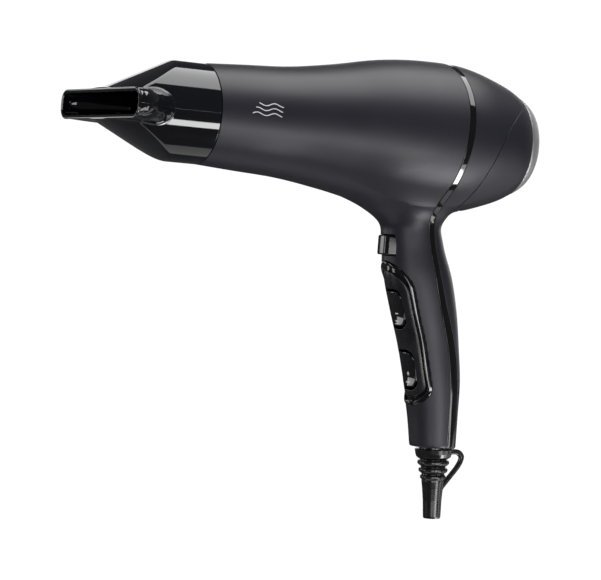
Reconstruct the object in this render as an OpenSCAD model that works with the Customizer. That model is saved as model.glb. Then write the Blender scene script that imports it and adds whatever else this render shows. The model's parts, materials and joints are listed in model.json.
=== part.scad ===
/* [Barrel] */
// Radius of the barrel at the air outlet, where the nozzle carries it on
outlet_r = 28; // [27:0.5:29]
// Largest radius of the barrel, over the fan
belly_r = 43.5; // [43:0.5:45]
// Radius of the barrel at the air intake
tail_r = 30.4; // [30.2:0.1:31]
// Distance from the origin forward to the outlet end
nose_len = 88; // [88:1:92]
// Distance from the origin back to the intake end
tail_len = 113.3; // [113:0.1:116]
// Thickness of the housing wall
wall = 2.2; // [2:0.1:2.4]

/* [Nozzle] */
// Width of the slot mouth, outside
mouth_w = 100; // [90:1:104]
// Height of the slot mouth, outside
mouth_h = 15.5; // [14:0.5:17]
// Distance from the outlet end forward to the mouth
nozzle_len = 61.3; // [60:0.1:64]
// Slope of the flat top and bottom faces, in degrees
facet_slope = 25.7; // [25:0.1:26.5]
// Thickness of the nozzle wall
nozzle_wall = 2; // [1.6:0.1:2.2]

/* [Handle and switches] */
// Half width of the switch surround
surround_half_w = 14.3; // [14:0.1:14.5]
// Width of each rocker
rocker_w = 14.8; // [13:0.1:15]
// Stroke that the cold-shot button has before it meets the shell
button_stroke = 2.5; // [1.5:0.1:2.5]

/* [Fan and heater] */
// Number of fan blades
fan_blades = 9; // [7:1:11]
// Number of turns of heating wire
heater_turns = 6; // [4:1:7]
// Radius of the motor shaft
shaft_r = 1.15; // [1:0.05:1.15]

/* [Cord entry] */
// Radius of the bore that the mains lead passes through
cord_bore_r = 3.6; // [3:0.1:3.8]
// Length of the strain relief below the handle
boot_len = 41.5; // [41:0.5:46]
// Lean of the strain relief from vertical, in degrees
boot_lean = 3.2; // [3:0.1:4]

/* [Hidden] */
$fn = 56;
gap = 0.15;
eps = 0.02;
nose_x = -nose_len;
mouth_x = nose_x - nozzle_len;
handle_end_z = -179;
spigot_r = 24.6;
collar_r = 25.88;
collar_bore_r = spigot_r + 0.05;
collar_bead_r = 26.5;
nozzle_bore_r = collar_r + 0.07;
nozzle_groove_r = collar_bead_r + 0.1;

/* Curves */

// Smooth curve through points a, b, c, d, at t from b to c
function knot(a, b, c, d, t) =
  (2 * b + (c - a) * t + (2 * a - 5 * b + 4 * c - d) * t * t
  + (3 * b - a - 3 * c + d) * t * t * t) / 2;

// A list of points with n smooth steps between each pair
function smooth(p, n) =
  let (last = len(p) - 1)
  [for (i = [0:last - 1], k = [0:n - 1])
    knot(i == 0 ? 2 * p[0] - p[1] : p[i - 1], p[i], p[i + 1],
      i == last - 1 ? 2 * p[last] - p[last - 1] : p[i + 2], k / n),
   p[last]];

// The outline of a 2D path as wide as its third coordinate on each side
function ribbon_side(p, side) =
  [for (i = [0:len(p) - 1])
    let (
      a = p[max(i - 1, 0)],
      b = p[min(i + 1, len(p) - 1)],
      run = [b[0] - a[0], b[1] - a[1]] / norm([b[0] - a[0], b[1] - a[1]]),
      out = side * p[i][2])
    [p[i][0] - run[1] * out, p[i][1] + run[0] * out]];
function backwards(p) = [for (i = [len(p) - 1:-1:0]) p[i]];
function ribbon(p) = concat(ribbon_side(p, 1), backwards(ribbon_side(p, -1)));

// A round wire of radius r swept along a list of 3D points that never run along the vector aside
module wire(path, r, aside, sides = 6) {
  last = len(path) - 1;
  rings = [for (i = [0:last])
    let (
      dir = path[min(i + 1, last)] - path[max(i - 1, 0)],
      across = cross(dir, aside),
      u = across / norm(across),
      v = cross(u, dir) / norm(dir))
    for (k = [0:sides - 1])
      path[i] + r * (u * cos(k * 360 / sides) + v * sin(k * 360 / sides))];
  skin = [for (i = [0:last - 1], k = [0:sides - 1], half = [0, 1])
    let (
      a = i * sides + k,
      b = i * sides + (k + 1) % sides)
    half == 0 ? [a, b, b + sides] : [a, b + sides, a + sides]];
  near = [for (k = [sides - 1:-1:0]) k];
  far = [for (k = [0:sides - 1]) last * sides + k];
  polyhedron(rings, concat(skin, [near], [far]));
}

/* Helpers */

// Turns the Z axis into the barrel's X axis, x forward of the origin being negative
module along_x(x = 0) {
  translate([x, 0, 0]) rotate([0, 90, 0]) children();
}
// Revolves a list of [radius, x] points about the barrel's axis
module turned(points) {
  along_x() rotate_extrude() polygon(points);
}
// A tube or a ring on the barrel's axis
module ring(x0, x1, r_in, r_out) {
  turned([[r_in, x0], [r_out, x0], [r_out, x1], [r_in, x1]]);
}
// Extrudes an outline drawn in the XZ plane across the whole width
module across(half_w = 60) {
  rotate([90, 0, 0]) linear_extrude(2 * half_w, center = true) children();
}
// Extrudes an outline drawn in the YZ plane along X
module forward(x0, x1) {
  translate([x0, 0, 0]) rotate([90, 0, 90]) linear_extrude(x1 - x0) children();
}

/* The barrel and the handle */

barrel_line = smooth([[nose_x, outlet_r], [-64, outlet_r + 1.6], [-36, outlet_r + 3.4],
  [-6, outlet_r + 7.8], [24, belly_r - 2.1], [52, belly_r], [78, belly_r - 1.2],
  [98, belly_r - 6.6], [106, belly_r - 9.4], [tail_len, tail_r]], 3);

module barrel(grow) {
  reach = grow < 0 ? 1 : 0;
  turned(concat([[0, nose_x - reach], [outlet_r + grow, nose_x - reach]],
    [for (p = barrel_line) [p[1] + grow, p[0]]],
    [[tail_r + grow, tail_len + reach], [0, tail_len + reach]]));
}

// Sections of the handle: height, front, back and half width
handle_sections = smooth([[-28, -8, 86, 17], [-37, 6, 83, 18], [-44, 23, 76.5, 18],
  [-50, 33.3, 72, 16.6], [-60, 36.5, 73.9, 16.2], [-80, 39.3, 81.7, 17.5],
  [-100, 45.2, 87, 17], [-120, 52.2, 90.4, 16], [-140, 57.7, 93.1, 15.2],
  [-160, 62.9, 93.5, 13.8], [handle_end_z, 66.1, 93.9, 12.4]], 2);
front_line = [for (s = backwards(handle_sections)) [s[0], s[1]]];
function front_x(z) = lookup(z, front_line);

module handle_slice(s, grow) {
  translate([(s[1] + s[2]) / 2, 0, s[0]])
    scale([(s[2] - s[1]) / 2 + grow, s[3] + grow, 1])
      cylinder(r = 1, h = eps, $fn = 40);
}
module handle(grow) {
  for (i = [0:len(handle_sections) - 2]) hull() {
    handle_slice(handle_sections[i], grow);
    handle_slice(handle_sections[i + 1], grow);
  }
}
module handle_cavity() {
  difference() {
    handle(-wall);
    translate([0, -50, handle_end_z - 10]) cube([150, 100, 10 + wall]);
  }
}
module body_wall() {
  difference() {
    union() {
      barrel(0);
      handle(0);
    }
    barrel(-wall);
    handle_cavity();
  }
}

// Path of the trim strip: X, Z and half width
trim_path = smooth([[65, 52, 1.8], [65, 26, 1.8], [62.8, 0, 1.8], [59.6, -28, 1.8],
  [58, -46, 2.2], [59.9, -62, 2], [64, -78, 2], [70.4, -98, 2.3], [79, -120, 3.1],
  [83.6, -144, 3.2], [86.2, -180, 4]], 3);
trim_front = ribbon_side([for (p = trim_path) p - [0, 0, -gap]], -1);
trim_back = ribbon_side([for (p = trim_path) p - [0, 0, -gap]], 1);
region_far = 130;
region_top = 52;
region_low = handle_end_z - 4;

module front_region() {
  across() polygon(concat([[-region_far, region_top]], trim_front,
    [[86, region_low], [-region_far, region_low]]));
}
module behind_trim() {
  across() polygon(concat([[region_far, region_top]], trim_back,
    [[86, region_low], [region_far, region_low]]));
}
// The slanting parting line between the rear shell and the filter cap
cap_low_z = -41;
cap_high_z = 26.5;
cap_line = smooth([[tail_len + 2, cap_high_z], [107.5, 21.4], [93, 9.3], [86.5, -1.9],
  [77.5, -24], [72.4, cap_low_z], [69, -52]], 3);
module cap_region(grow) {
  across() intersection() {
    polygon(concat([for (p = cap_line) p + [-grow, grow]],
      [[region_far, -52], [region_far, cap_high_z + grow]]));
    translate([0, cap_low_z - grow]) square([region_far, 90]);
  }
}

/* Mounting places inside the handle */

rib_1_x = 49;
rib_2_x = 58.5;
screw_1_z = -79;
screw_2_z = -113.5;
rib_t = 2.5;
boss_r = 2.8;
clamp_z = -168;
clamp_y = 5.6;
clamp_x = 82.9;
screw_r = 1.2;
thread_r = 1.25;

module screw_rib(x, z) {
  intersection() {
    handle(-wall / 2);
    translate([x, -30, z - 3.5]) cube([rib_t, 60, 7]);
  }
}
module boot_frame() {
  translate([81, 0, handle_end_z]) rotate([0, -boot_lean, 0]) children();
}
module boot_hole() {
  boot_frame() translate([0, 0, -5]) cylinder(r = 8.6, h = 12);
}

/* Switch surround, panel and rockers */

surround_top_z = -73;
surround_end_z = -155;
surround_corner = 9;
surround_depth = 13;
panel_half_w = surround_half_w - 2.45;
panel_top_z = surround_top_z - 5.5;
panel_end_z = surround_end_z + 5;
panel_corner = 8;
panel_recess = 0.8;
panel_t = 1.4;

// An arch-topped outline with round lower corners, in the YZ plane
module arch(half, top, end, corner) {
  translate([0, top - half]) circle(half);
  translate([-half, end + corner]) square([2 * half, top - half - end - corner]);
  translate([corner - half, end]) square([2 * (half - corner), 2 * corner]);
  for (side = [-1, 1]) translate([side * (half - corner), end + corner]) circle(corner);
}
module surround_plan(grow) {
  arch(surround_half_w + grow, surround_top_z + grow, surround_end_z - grow,
    surround_corner + grow);
}
module panel_plan(grow) {
  arch(panel_half_w + grow, panel_top_z + grow, panel_end_z - grow, panel_corner + grow);
}
// The outline that is its child, extruded from ahead of the handle's front line to depth behind it
module switch_zone(depth) {
  intersection() {
    forward(20, 80) children();
    across() polygon(concat([for (z = [-60:-10:-160]) [front_x(z) - 6, z]],
      [for (z = [-160:10:-60]) [front_x(z) + depth, z]]));
  }
}

rocker_depth = 8.5;
rocker_half_l = 10.3;
slot_half_l = 12;
slot_corner = 5;
slot_gap = 0.3;
speed_z = -100.5;
speed_tilt = 17.8;
heat_z = -135;
heat_tilt = 14.6;
pin_r = 1;

// Places a switch: X runs into the handle, Z up along its front, origin on the rocker's pin
module switch_frame(z, tilt) {
  translate([front_x(z) + rocker_depth * cos(tilt), 0, z + rocker_depth * sin(tilt)])
    rotate([0, -tilt, 0]) children();
}
// A rectangle with round corners, in the YZ plane
module round_plan(half_w, half_l, corner) {
  square([2 * half_w, 2 * (half_l - corner)], center = true);
  square([2 * (half_w - corner), 2 * half_l], center = true);
  for (y = [-1, 1], up = [-1, 1])
    translate([y * (half_w - corner), up * (half_l - corner)]) circle(corner, $fn = 32);
}
module rocker_slot(z, tilt) {
  switch_frame(z, tilt) forward(-16, 0)
    round_plan(rocker_w / 2 + slot_gap, slot_half_l, slot_corner);
}
module rocker() {
  dish = smooth([[-7.4, rocker_half_l], [-6.2, 5.5], [-5.7, 0], [-6.2, -5.5],
    [-7.4, -rocker_half_l]], 3);
  difference() {
    intersection() {
      across(rocker_w / 2) polygon(concat(dish,
        [[-2, -rocker_half_l], [2.6, -4], [2.6, 4], [-2, rocker_half_l]]));
      forward(-9, 4) round_plan(rocker_w / 2, rocker_half_l, slot_corner - slot_gap);
    }
    rotate([90, 0, 0]) cylinder(r = pin_r + 0.05, h = rocker_w + 2, center = true);
  }
}
module rocker_pin() {
  rotate([90, 0, 0]) cylinder(r = pin_r, h = rocker_w + 2.8, center = true);
}
module switch_body() {
  cheek_in = rocker_w / 2 + 0.3;
  cheek_t = 1.2;
  cheek_x = -1.4;
  difference() {
    union() {
      translate([4.2, -cheek_in - cheek_t, -9.5]) cube([7.8, 2 * (cheek_in + cheek_t), 19]);
      for (side = [-1, 1])
        translate([cheek_x, side > 0 ? cheek_in : -cheek_in - cheek_t, -3.5])
          cube([6, cheek_t, 7]);
    }
    rotate([90, 0, 0]) cylinder(r = pin_r + 0.03, h = 40, center = true);
  }
  for (y = [-5.5, 0, 5.5]) translate([12, y - 1.6, -3]) cube([4, 3.2, 0.8]);
}

/* Cold-shot button */

button_top_z = -58;
button_end_z = -69.5;
flange_x = 41.6;
// The button's outline in plan, grown by grow and carried on backwards by reach
module button_plan(grow, reach) {
  back = flange_x + grow + reach;
  polygon([[34.6 - grow, -5 - grow], [34.6 - grow, 5 + grow], [40.5, 8 + grow],
    [back, 8 + grow], [back, -8 - grow], [40.5, -8 - grow]]);
}
module button_block(grow, reach = 0) {
  translate([0, 0, button_end_z - grow])
    linear_extrude(button_top_z - button_end_z + 2 * grow) button_plan(grow, reach);
}
flange_t = 1.6;
spring_x0 = 46.2;
spring_x1 = spring_x0 + button_stroke + 2.3;
button_z = (button_top_z + button_end_z) / 2;

/* Housing nodes */

module front_shell() {
  color([0.17, 0.17, 0.19]) difference() {
    union() {
      intersection() {
        body_wall();
        front_region();
      }
      screw_rib(rib_1_x, screw_1_z);
      screw_rib(rib_2_x, screw_2_z);
      intersection() {
        handle(-0.5);
        for (side = [-1, 1]) translate([60, side * clamp_y, clamp_z])
          rotate([0, 90, 0]) cylinder(r = boss_r, h = clamp_x - gap - 60, $fn = 32);
      }
    }
    switch_zone(surround_depth + gap) surround_plan(gap);
    button_block(0.3, button_stroke);
    translate([38, -6, button_end_z - 1.2]) cube([8, 12, button_top_z - button_end_z + 2.4]);
    boot_hole();
    for (z = [screw_1_z, screw_2_z])
      translate([40, 0, z]) rotate([0, 90, 0]) cylinder(r = screw_r + 0.3, h = 30, $fn = 24);
    for (side = [-1, 1])
      translate([69, side * clamp_y, clamp_z]) rotate([0, 90, 0]) cylinder(r = thread_r, h = 20, $fn = 24);
  }
}
module rear_shell() {
  color([0.17, 0.17, 0.19]) difference() {
    union() {
      intersection() {
        body_wall();
        behind_trim();
      }
      intersection() {
        handle(-wall / 2);
        for (s = [[rib_1_x, screw_1_z], [rib_2_x, screw_2_z]])
          translate([s[0] + rib_t + 0.2, 0, s[1]]) rotate([0, 90, 0]) cylinder(r = boss_r, h = 45, $fn = 32);
      }
    }
    cap_region(gap);
    boot_hole();
    for (s = [[rib_1_x, screw_1_z], [rib_2_x, screw_2_z]])
      translate([s[0], 0, s[1]]) rotate([0, 90, 0]) cylinder(r = thread_r, h = 20, $fn = 24);
  }
}
module trim_strip() {
  color([0.02, 0.02, 0.02]) difference() {
    intersection() {
      body_wall();
      across() polygon(ribbon(trim_path));
    }
    translate([50, -30, handle_end_z - 5]) cube([60, 60, 5.3 + wall]);
  }
}
module rear_filter_cap() {
  color([0.16, 0.16, 0.18]) intersection() {
    difference() {
      barrel(0);
      barrel(-wall);
    }
    cap_region(-gap);
    ring(60, tail_len, 20, 60);
  }
}
module intake_ring() {
  color([0.72, 0.72, 0.72]) turned([[27.4, tail_len + 0.2], [tail_r - 0.4, tail_len + 0.2],
    [29.5, 115.2], [27.7, 118.4], [25.7, 121], [25.1, 121.2], [24.5, 120.9], [26.2, 118],
    [27.4, 116.6]]);
}
module intake_grille() {
  color([0.05, 0.05, 0.05]) {
    ring(114.5, 116.5, 26.2, 27.35);
    for (r = [5, 11, 17, 22]) ring(114.7, 116.3, r, r + 1.1);
    difference() {
      for (a = [0:45:315]) rotate([a, 0, 0]) translate([114.5, -0.7, 5.5]) cube([2, 1.4, 21.2]);
      ring(114, 117, 26.8, 40);
    }
  }
}
module filter_mesh() {
  mesh_pitch = 5;
  bar = 0.9;
  color([0.25, 0.25, 0.26]) along_x(112.6) linear_extrude(0.5) {
    difference() {
      circle(27.2);
      circle(25.8);
    }
    intersection() {
      circle(26.5);
      union() for (i = [-5:5]) {
        translate([i * mesh_pitch - bar / 2, -27]) square([bar, 54]);
        translate([-27, i * mesh_pitch - bar / 2]) square([54, bar]);
      }
    }
  }
}

/* Nozzle */

module nozzle_cone(r, x0, x1, inset) {
  intersection() {
    along_x(x0) cylinder(r = r, h = x1 - x0);
    facet_side(0, inset);
    facet_side(1, inset);
  }
}
module facet_side(side, inset) {
  crown_r = 80;
  mirror([0, 0, side])
    translate([mouth_x, 0, mouth_h / 2 + 0.2 - inset / cos(facet_slope)])
      rotate([0, 90 - facet_slope, 0]) translate([crown_r, 0, 0])
        cylinder(r = crown_r, h = 400, center = true);
}
// Flared slot tube: plan and side outlines, crossed. The inset one, for the bore, runs out of the mouth.
module slot_tube(inset) {
  half = mouth_w / 2;
  start = inset > 0 ? mouth_x - 1 : mouth_x;
  plan = concat([[start, half]], smooth([[mouth_x + 0.5, half], [mouth_x + 6, half - 0.4],
    [mouth_x + 12, half - 4.2], [mouth_x + 19, half - 12.5], [mouth_x + 26, half - 18.6],
    [mouth_x + 32, half - 22.4]], 3));
  near = [for (p = plan) [p[0], p[1] - inset]];
  dome_x = mouth_x + 21.3;
  dome_len = 11.5;
  dome_h = mouth_h / 2 + 2 - inset;
  upper = concat([[start, mouth_h / 2 - inset]],
    [for (a = [90:-10:0]) [dome_x + dome_len * cos(a), dome_h * sin(a)]]);
  intersection() {
    linear_extrude(40, center = true)
      polygon(concat(near, backwards([for (p = near) [p[0], -p[1]]])));
    across() polygon(concat(upper, backwards([for (p = upper) [p[0], -p[1]]])));
  }
}
module nozzle_body() {
  difference() {
    union() {
      nozzle_cone(outlet_r, mouth_x + 1, nose_x - 0.4, 0);
      slot_tube(0);
    }
    along_x(-106) cylinder(r = nozzle_bore_r, h = 20);
    ring(-97.2, -94.8, 20, nozzle_groove_r);
    nozzle_cone(outlet_r - nozzle_wall, mouth_x + 4, -100, nozzle_wall);
    slot_tube(nozzle_wall);
  }
}
module nozzle_upper_shell() {
  color([0.04, 0.04, 0.045]) intersection() {
    nozzle_body();
    translate([-200, -60, 0.05]) cube([150, 120, 60]);
  }
}
module nozzle_lower_shell() {
  color([0.04, 0.04, 0.045]) intersection() {
    nozzle_body();
    translate([-200, -60, -60.05]) cube([150, 120, 60]);
  }
}
module nozzle_collar() {
  color([0.1, 0.1, 0.1]) turned([[collar_bore_r, -103.6], [collar_r, -103.6],
    [collar_r, -96.9], [collar_bead_r, -96.6], [collar_bead_r, -95.4], [collar_r, -95.1],
    [collar_r, -89], [collar_bore_r, -89]]);
}

/* Outlet and heater */

module outlet_tube() {
  bore = spigot_r - 1.6;
  shoulder_r = outlet_r - wall - 0.2;
  color([0.12, 0.12, 0.12]) turned([[bore, -104], [spigot_r, -104], [spigot_r, -88.3],
    [shoulder_r, -88.3], [shoulder_r, -82], [spigot_r, -80], [spigot_r, -75], [bore, -75]]);
}
module outlet_grille() {
  color([0.08, 0.08, 0.08]) {
    ring(-100, -97, 21.8, 22.95);
    for (r = [4, 10, 16]) ring(-99.8, -97.4, r, r + 1);
    difference() {
      for (a = [0:60:300]) rotate([a, 0, 0]) translate([-99.6, -0.6, 4.4]) cube([2.2, 1.2, 18]);
      ring(-101, -96, 22.4, 40);
    }
  }
}
coil_r = 20.4;
coil_wire_r = 0.55;
coil_x0 = -72;
coil_x1 = -24;
coil_pitch = (coil_x1 - coil_x0) / heater_turns;
module heater_tube() {
  color([0.78, 0.72, 0.6]) ring(-78, -6, 22.2, 22.8);
}
module heater_frame() {
  plate_t = 0.8;
  notch = 1.8;
  color([0.82, 0.76, 0.62]) difference() {
    for (a = [0, 90]) rotate([a, 0, 0]) translate([0, -plate_t / 2, 0]) {
      translate([-76, 0, -21.2]) cube([64, plate_t, 42.4]);
      for (x = [-76, -15]) translate([x, 0, -22.1]) cube([3, plate_t, 44.2]);
    }
    for (k = [0:4 * heater_turns])
      rotate([k * 90, 0, 0]) translate([coil_x0 + k * coil_pitch / 4 - notch / 2, -2, 19.8])
        cube([notch, 4, 5]);
  }
}
module heater_coil() {
  steps = 16;
  color([0.6, 0.55, 0.5]) wire([for (k = [-1:heater_turns * steps + 1])
    let (turn = k * 360 / steps)
    [coil_x0 + k * coil_pitch / steps, -coil_r * sin(turn), coil_r * cos(turn)]], coil_wire_r, [1, 0, 0]);
}
module thermostat() {
  color([0.75, 0.7, 0.6]) translate([-22, 0.4, 6]) cube([9, 3.2, 7]);
  color([0.8, 0.8, 0.8]) translate([-30, 1.6, 9]) cube([8, 0.5, 2.6]);
}
module thermal_fuse() {
  color([0.85, 0.85, 0.85]) translate([-33, 2.5, -8]) rotate([0, 90, 0]) {
    cylinder(r = 2, h = 11, $fn = 32);
    translate([0, 0, -4]) cylinder(r = 0.5, h = 19, $fn = 24);
  }
}

/* Fan and motor */

duct_r = 34.4;
duct_t = 1.1;
motor_r = 14;
module fan_duct() {
  color([0.9, 0.9, 0.88]) difference() {
    union() {
      turned([[22.9, -12], [24, -12], [24, -4], [duct_r + duct_t, 18], [duct_r + duct_t, 80],
        [duct_r, 80], [duct_r, 18], [22.9, -4]]);
      ring(18, 44, motor_r + 0.15, motor_r + 1.4);
      ring(16.5, 18, 4, motor_r + 1.4);
      for (a = [0:45:315]) rotate([a + 22.5, 0, 0])
        translate([22, -0.6, motor_r + 1]) cube([16, 1.2, duct_r - motor_r - 0.6]);
    }
    translate([-2, -5.5, -34]) cube([13, 11, 14]);
  }
}
module duct_seal() {
  color([0.1, 0.1, 0.1]) ring(41, 47, duct_r + duct_t + 0.05, 40.6);
}
module motor_can() {
  color([0.7, 0.7, 0.72]) turned([[3.05, 18.2], [motor_r, 18.2], [motor_r, 46],
    [motor_r - 1, 46], [motor_r - 1, 19.2], [3.05, 19.2]]);
}
module motor_endcap() {
  color([0.95, 0.95, 0.93]) turned([[3.05, 46.1], [motor_r, 46.1], [motor_r, 48.1], [3.05, 48.1]]);
}
module motor_bushings() {
  color([0.75, 0.6, 0.3]) for (x = [17.4, 46.2]) ring(x, x + 3, shaft_r + 0.05, 3);
}
module motor_magnets() {
  color([0.2, 0.2, 0.22]) for (side = [0, 180])
    rotate([side, 0, 0]) along_x() rotate([0, 0, -62]) rotate_extrude(angle = 124)
      polygon([[10.5, 22], [12.9, 22], [12.9, 42], [10.5, 42]]);
}
module motor_armature() {
  color([0.65, 0.4, 0.25]) difference() {
    turned([[shaft_r + 0.01, 24], [9.9, 24], [9.9, 39], [3.6, 39], [3.6, 44.5],
      [shaft_r + 0.01, 44.5]]);
    for (a = [0:72:288]) rotate([a, 0, 0]) translate([23, -1, 6]) cube([17, 2, 5]);
  }
}
module motor_shaft() {
  color([0.8, 0.8, 0.8]) along_x(16.6) cylinder(r = shaft_r, h = 52);
}
module fan_impeller() {
  hub_r = 9;
  color([0.15, 0.15, 0.15]) {
    ring(53, 68, shaft_r + 0.01, hub_r);
    intersection() {
      ring(52, 70, hub_r - 1, duct_r - 0.8);
      for (a = [0:fan_blades - 1]) rotate([a * 360 / fan_blades, 0, 0])
        translate([60.5, 0, 20]) rotate([0, 0, 52]) cube([20, 1.3, 32], center = true);
    }
  }
}
module rectifier_board() {
  color([0.1, 0.4, 0.15]) ring(14.9, 16.4, 4, 12);
  color([0.1, 0.1, 0.1]) for (a = [45:90:315])
    rotate([a, 0, 0]) translate([11.7, -1.5, 6]) cube([3.2, 3, 5]);
}

/* Switch nodes */

module switch_surround() {
  color([0.03, 0.03, 0.03]) difference() {
    intersection() {
      handle(0.5);
      switch_zone(surround_depth) surround_plan(0);
    }
    handle(-2.6);
    switch_zone(40) panel_plan(0);
  }
}
module switch_panel() {
  color([0.09, 0.09, 0.1]) difference() {
    intersection() {
      handle(-panel_recess);
      switch_zone(surround_depth) panel_plan(-gap);
    }
    handle(-panel_recess - panel_t);
    rocker_slot(speed_z, speed_tilt);
    rocker_slot(heat_z, heat_tilt);
  }
}
module speed_rocker() {
  color([0.04, 0.04, 0.04]) switch_frame(speed_z, speed_tilt) rocker();
}
module heat_rocker() {
  color([0.04, 0.04, 0.04]) switch_frame(heat_z, heat_tilt) rocker();
}
module speed_rocker_pin() {
  color([0.7, 0.7, 0.7]) switch_frame(speed_z, speed_tilt) rocker_pin();
}
module heat_rocker_pin() {
  color([0.7, 0.7, 0.7]) switch_frame(heat_z, heat_tilt) rocker_pin();
}
module speed_switch_body() {
  color([0.85, 0.85, 0.82]) switch_frame(speed_z, speed_tilt) switch_body();
}
module heat_switch_body() {
  color([0.85, 0.85, 0.82]) switch_frame(heat_z, heat_tilt) switch_body();
}
module cold_shot_button() {
  color([0.06, 0.06, 0.06]) union() {
    button_block(0);
    translate([flange_x, -5.5, button_end_z - 0.9])
      cube([flange_t, 11, button_top_z - button_end_z + 1.8]);
    translate([flange_x + flange_t, -3.5, button_z - 3.5])
      cube([spring_x0 - flange_x - flange_t - eps, 7, 7]);
  }
}
module cold_shot_spring() {
  turns = 4;
  steps = 12;
  coil = 2.2;
  wire_r = 0.3;
  color([0.75, 0.75, 0.75]) wire([for (k = [0:turns * steps])
    let (a = k * 360 / steps)
    [spring_x0 + wire_r + k * (spring_x1 - spring_x0 - 2 * wire_r) / (turns * steps),
     coil * sin(a), button_z + coil * cos(a)]], wire_r, [1, 0, 0]);
}
module cold_shot_switch() {
  color([0.2, 0.2, 0.22]) translate([spring_x1 + 0.05, -3.2, button_z - 6.4]) cube([7, 6.4, 12.8]);
  color([0.8, 0.7, 0.4]) for (z = [-4, 4])
    translate([spring_x1 + 7.05, -1.6, button_z + z - 0.4]) cube([3.5, 3.2, 0.8]);
}

/* Cord entry */

module strain_relief_boot() {
  bore_top = 5.1;
  // Each rib: height of its middle, its radius, and the radius of the groove below it
  ribs = [[-8.7, 9.2, 7.6], [-13.1, 8.4, 7], [-17.2, 7.4, 6.5]];
  outline = concat(
    [[2, bore_top], [9.7, bore_top], [9.7, 3.1], [8.3, 3.1], [8.3, -1.1], [11, -1.1],
     [10, -5.7], [8.4, -6.7]],
    [for (rib = ribs, p = [[-0.4, 1.1], [0, 0.3], [0, -0.6], [-0.5, -1.3]])
      [rib[1] + p[0], rib[0] + p[1]]],
    [[6.6, -19.5], [6, -24.1], [5.4, -31.1], [5.05, 1 - boot_len], [4.7, -boot_len],
     [2, -boot_len]]);
  loop = smooth([[88.5, -181.6, 1.6], [96.2, -181.3, 1.6], [99.3, -182.5, 1.5],
    [100.5, -185, 1.2], [98.3, -190, 1.15], [91.3, -198.6, 1.15], [86.5, -204.5, 1.2]], 3);
  color([0.07, 0.07, 0.07]) difference() {
    union() {
      boot_frame() rotate_extrude() difference() {
        polygon(outline);
        for (rib = ribs) translate([rib[2] + 3, rib[0] - 2.15]) square([6, 0.7], center = true);
      }
      across(1.7) polygon(ribbon(loop));
    }
    boot_frame() translate([0, 0, -boot_len - 1])
      cylinder(r = cord_bore_r, h = boot_len + bore_top + 2);
  }
}
module terminal_block() {
  color([0.9, 0.9, 0.88]) difference() {
    translate([71, -7.5, -162]) cube([13, 15, 9]);
    for (y = [-3.6, 3.6]) translate([77.5, y, -163]) cylinder(r = 1.8, h = 12, $fn = 24);
  }
}
module cord_clamp() {
  color([0.3, 0.3, 0.3]) difference() {
    translate([clamp_x, -7.8, clamp_z - 3]) cube([2.3, 15.6, 6]);
    for (side = [-1, 1]) translate([clamp_x - 1, side * clamp_y, clamp_z])
      rotate([0, 90, 0]) cylinder(r = screw_r + 0.1, h = 5, $fn = 24);
  }
}
module clamp_screws() {
  color([0.75, 0.75, 0.75]) for (side = [-1, 1])
    translate([clamp_x + 2.35, side * clamp_y, clamp_z]) rotate([0, 90, 0]) {
      cylinder(r = 2, h = 1.5, $fn = 32);
      translate([0, 0, -12]) cylinder(r = screw_r, h = 12, $fn = 32);
    }
}
module housing_screws() {
  color([0.75, 0.75, 0.75]) for (s = [[rib_1_x, screw_1_z], [rib_2_x, screw_2_z]])
    translate([s[0], 0, s[1]]) rotate([0, 90, 0]) {
      translate([0, 0, -1.85]) cylinder(r = 2.6, h = 1.8, $fn = 32);
      translate([0, 0, -0.1]) cylinder(r = screw_r, h = 17, $fn = 32);
    }
}
module heater_leads() {
  color([0.8, 0.8, 0.8]) for (side = [-1, 1])
    wire(smooth([[71.5, side * 5.5, -90], [73, side * 5.5, -82], [69, side * 5.5, -70],
      [58, side * 5, -54], [38, side * 4, -42.5], [20, side * 3, -38], [12, side * 3, -34.4],
      [4, side * 3, -27], [-4, side * 3, -17], [-11.5, side * 3, -10]], 3), 0.8, [0, 1, 0]);
}
module switch_leads() {
  color([0.5, 0.3, 0.2]) for (side = [-1, 1])
    wire(smooth([[77.5, side * 3.6, -152.9], [81, side * 5, -144], [85, side * 6, -134],
      [84.5, side * 6, -122], [80, side * 6, -110], [73.8, side * 5.5, -97.6]], 3), 0.8, [0, 1, 0]);
}

front_shell();
rear_shell();
trim_strip();
rear_filter_cap();
intake_ring();
intake_grille();
filter_mesh();
nozzle_upper_shell();
nozzle_lower_shell();
nozzle_collar();
outlet_tube();
outlet_grille();
heater_tube();
heater_frame();
heater_coil();
thermostat();
thermal_fuse();
fan_duct();
duct_seal();
motor_can();
motor_endcap();
motor_bushings();
motor_magnets();
motor_armature();
motor_shaft();
fan_impeller();
rectifier_board();
switch_surround();
switch_panel();
speed_rocker();
heat_rocker();
speed_rocker_pin();
heat_rocker_pin();
speed_switch_body();
heat_switch_body();
cold_shot_button();
cold_shot_spring();
cold_shot_switch();
strain_relief_boot();
terminal_block();
cord_clamp();
clamp_screws();
housing_screws();
heater_leads();
switch_leads();
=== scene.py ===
"""Looks of the hair dryer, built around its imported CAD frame. Shapes are in millimetres, in that frame."""

import json
import math

import bpy
import numpy as np
from mathutils import Matrix, Vector

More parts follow.
